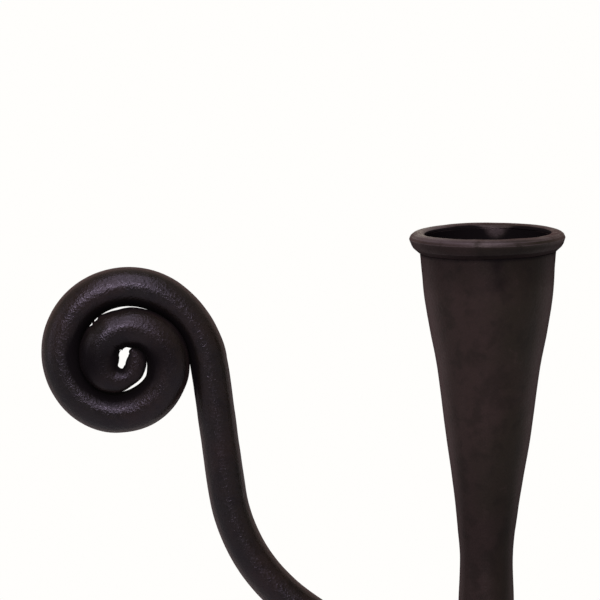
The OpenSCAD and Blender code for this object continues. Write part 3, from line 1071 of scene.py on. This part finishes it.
# ------------------------------------------------------------------------------------
# Foot glides
# Moulded rubber discs with gripping ribs round the side, each on a steel stud that
# screws up into the foot. They keep the iron off the floor.
# ------------------------------------------------------------------------------------


def moulded_rubber(name):
    """Black rubber with a grey bloom in patches."""
    bloom_tone = (0.035, 0.034, 0.032)
    bloom_size = 9 * mm
    grain_size = 0.5 * mm
    material, wires = new_finish(name)
    place = wires.node("ShaderNodeTexCoord", out=3)
    bloom = place.clouds(bloom_size, 4, 0.65).stepped(0.45, 0.75)
    grain = place.clouds(grain_size, 2, 0.5)
    black = wires.colour((0.012, 0.012, 0.012))
    shader = wires.node(
        "ShaderNodeBsdfPrincipled",
        {
            "Base Color": black.tint(bloom_tone, bloom * 0.5),
            "Roughness": bloom * 0.12 + 0.62,
            "Specular IOR Level": 0.35,
            "Normal": wires.node("ShaderNodeBump", {"Distance": 0.1 * mm, "Height": grain}),
        },
    )
    wires.node("ShaderNodeOutputMaterial", {"Surface": shader})
    return material


glide_rubber = moulded_rubber("glide_rubber")
labels = [("Ribs", "Int"), ("Ring Radius", "Float"), ("Rib Radius", "Float")]
labels += [("Rib Height", "Float"), ("Middle", "Vector"), ("Finish", "Material")]
wires, given = new_tree("ribbed_side", labels)
ring = wires.node(
    "GeometryNodeMeshCircle", {"Vertices": given["Ribs"], "Radius": given["Ring Radius"]}
)
rib = wires.node(
    "GeometryNodeMeshCylinder",
    {"Vertices": 12, "Radius": given["Rib Radius"], "Depth": given["Rib Height"]},
)
ribs = wires.node("GeometryNodeInstanceOnPoints", {"Points": ring, "Instance": rib})
sockets = {"Geometry": ribs, "Translation": given["Middle"]}
ribs = wires.node("GeometryNodeTransform", sockets)
joined = wires.node("GeometryNodeJoinGeometry")
for part in (given["Geometry"], ribs):
    wires.tree.links.new(part.socket, joined.socket.node.inputs[0])
ribbed_side = end_tree(wires, joined, given)

glide_r = (glide_high.x - glide_low.x) / 2
rib_r = 0.5 * mm
side_r = glide_r - 0.4 * mm
side_low = 1.2 * mm
side_high = glide_h - 1.6 * mm
sole_t = 1.4 * mm
groove = 0.4 * mm
glide_line = [(0, 0)]
for groove_r in (4.5 * mm, 7.6 * mm):
    glide_line.append((groove_r, 0))
    glide_line.append((groove_r + groove, groove))
    glide_line.append((groove_r + 3 * groove, groove))
    glide_line.append((groove_r + 4 * groove, 0))
glide_line += [
    (side_r - 1.2 * mm, 0),
    (side_r, side_low),
    (side_r, side_high),
    (side_r - 1.4 * mm, glide_h),
    (stud_hole, glide_h),
    (stud_hole, sole_t),
    (0, sole_t),
]
for i in (1, 2, 3):
    centre = glide_centre(i)
    glide = turned(f"ribbed_foot_glide_{i}", glide_line, 0.25 * mm, 0.8 * mm, 72, centre)
    rib_sizes = {"Ribs": 28, "Ring Radius": glide_r - rib_r, "Rib Radius": rib_r}
    rib_sizes["Rib Height"] = 1.9 * mm
    rib_sizes["Middle"] = (*centre, 2.25 * mm)
    worked(glide, ribbed_side, Finish=glide_rubber, **rib_sizes)
    fit_in(glide, "glide_rubber", f"foot_glide_{i}")

# ------------------------------------------------------------------------------------
# Studio
# A pale floor under soft light, and a long lens that looks slightly down at the cup.
# ------------------------------------------------------------------------------------

camera = bpy.data.objects.new("camera", bpy.data.cameras.new("camera"))
bpy.context.scene.collection.objects.link(camera)
bpy.context.scene.camera = camera
sensor = 36
camera_distance = 2.0
view_width = 222 * mm
elevation = math.radians(7.5)
aim = Vector((-69.4 * mm, 0, rim_top - 25.9 * mm))
back = Vector((0, -math.cos(elevation), math.sin(elevation)))
camera.data.sensor_width = sensor
camera.data.lens = sensor * camera_distance / view_width
camera.data.clip_end = 200
camera.location = aim + back * camera_distance
camera.rotation_euler = back.to_track_quat("Z", "Y").to_euler()


def soft_box(name, azimuth, elevation, distance, size, power):
    """A lamp this far from the cup, turned to face it. Azimuth 0 is straight in front."""
    middle = Vector((-0.05, 0, 0.98))
    turn = math.radians(azimuth)
    rise = math.radians(elevation)
    flat = math.cos(rise)
    out = Vector((math.sin(turn) * flat, -math.cos(turn) * flat, math.sin(rise)))
    lamp = bpy.data.lights.new(name, "AREA")
    lamp.shape = "RECTANGLE"
    lamp.size, lamp.size_y = size
    lamp.energy = power
    made = bpy.data.objects.new(name, lamp)
    made.location = middle + out * distance
    made.rotation_euler = out.to_track_quat("Z", "Y").to_euler()
    bpy.context.scene.collection.objects.link(made)


def light_paths(wires):
    """1 where the camera looks straight on, and 1 where it looks by a mirror or glass."""
    seen = wires.node("ShaderNodeLightPath", out=0)
    glossy = wires.node("ShaderNodeLightPath", out=3)
    through = wires.node("ShaderNodeLightPath", out=6)
    return seen, glossy + through


soft_box("front_box", -8, 23, 2.2, (1.0, 0.4), 34)
soft_box("overhead_box", -5, 58, 1.8, (1.2, 1.4), 23)
soft_box("side_box", -70, 10, 2.2, (0.7, 1.4), 6)

edge = 60
corners = [(-edge, -edge, 0), (edge, -edge, 0), (edge, edge, 0), (-edge, edge, 0)]
mesh = bpy.data.meshes.new("floor")
mesh.from_pydata(corners, [], [(0, 1, 2, 3)])
floor = bpy.data.objects.new("floor", mesh)
bpy.context.scene.collection.objects.link(floor)
paper_white = (1, 0.991, 0.973)
floor_paint, wires = new_finish("floor_paint")
seen, mirrored = light_paths(wires)
place = wires.node("ShaderNodeTexCoord", out=3)
away = wires.node("ShaderNodeVectorMath", {0: place}, out=1, operation="LENGTH").stepped(0.6, 3.2)
matte = wires.node("ShaderNodeBsdfDiffuse", {"Color": (0.8, 0.795, 0.785, 1)})
glow = wires.node("ShaderNodeEmission", {"Color": (*paper_white, 1), "Strength": 1.0})
share = seen * (away * 0.65 + 0.35) + mirrored * 0.5
mixed = wires.node("ShaderNodeMixShader", {0: share, 1: matte, 2: glow})
wires.node("ShaderNodeOutputMaterial", {"Surface": mixed})
floor.data.materials.append(floor_paint)
floor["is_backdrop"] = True

world = bpy.data.worlds.new("room")
bpy.context.scene.world = world
world.use_nodes = True
world.node_tree.nodes.clear()
wires = Wire(world.node_tree)
seen, mirrored = light_paths(wires)
strength = 0.32 + seen * 0.68 + mirrored * 0.28
lamplit_wall = (1, 0.87, 0.72)
tone = wires.colour(paper_white).tint(lamplit_wall, mirrored)
sky = wires.node("ShaderNodeBackground", {"Color": tone, "Strength": strength})
wires.node("ShaderNodeOutputWorld", {"Surface": sky})
bpy.context.scene.view_settings.view_transform = "Standard"

low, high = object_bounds()
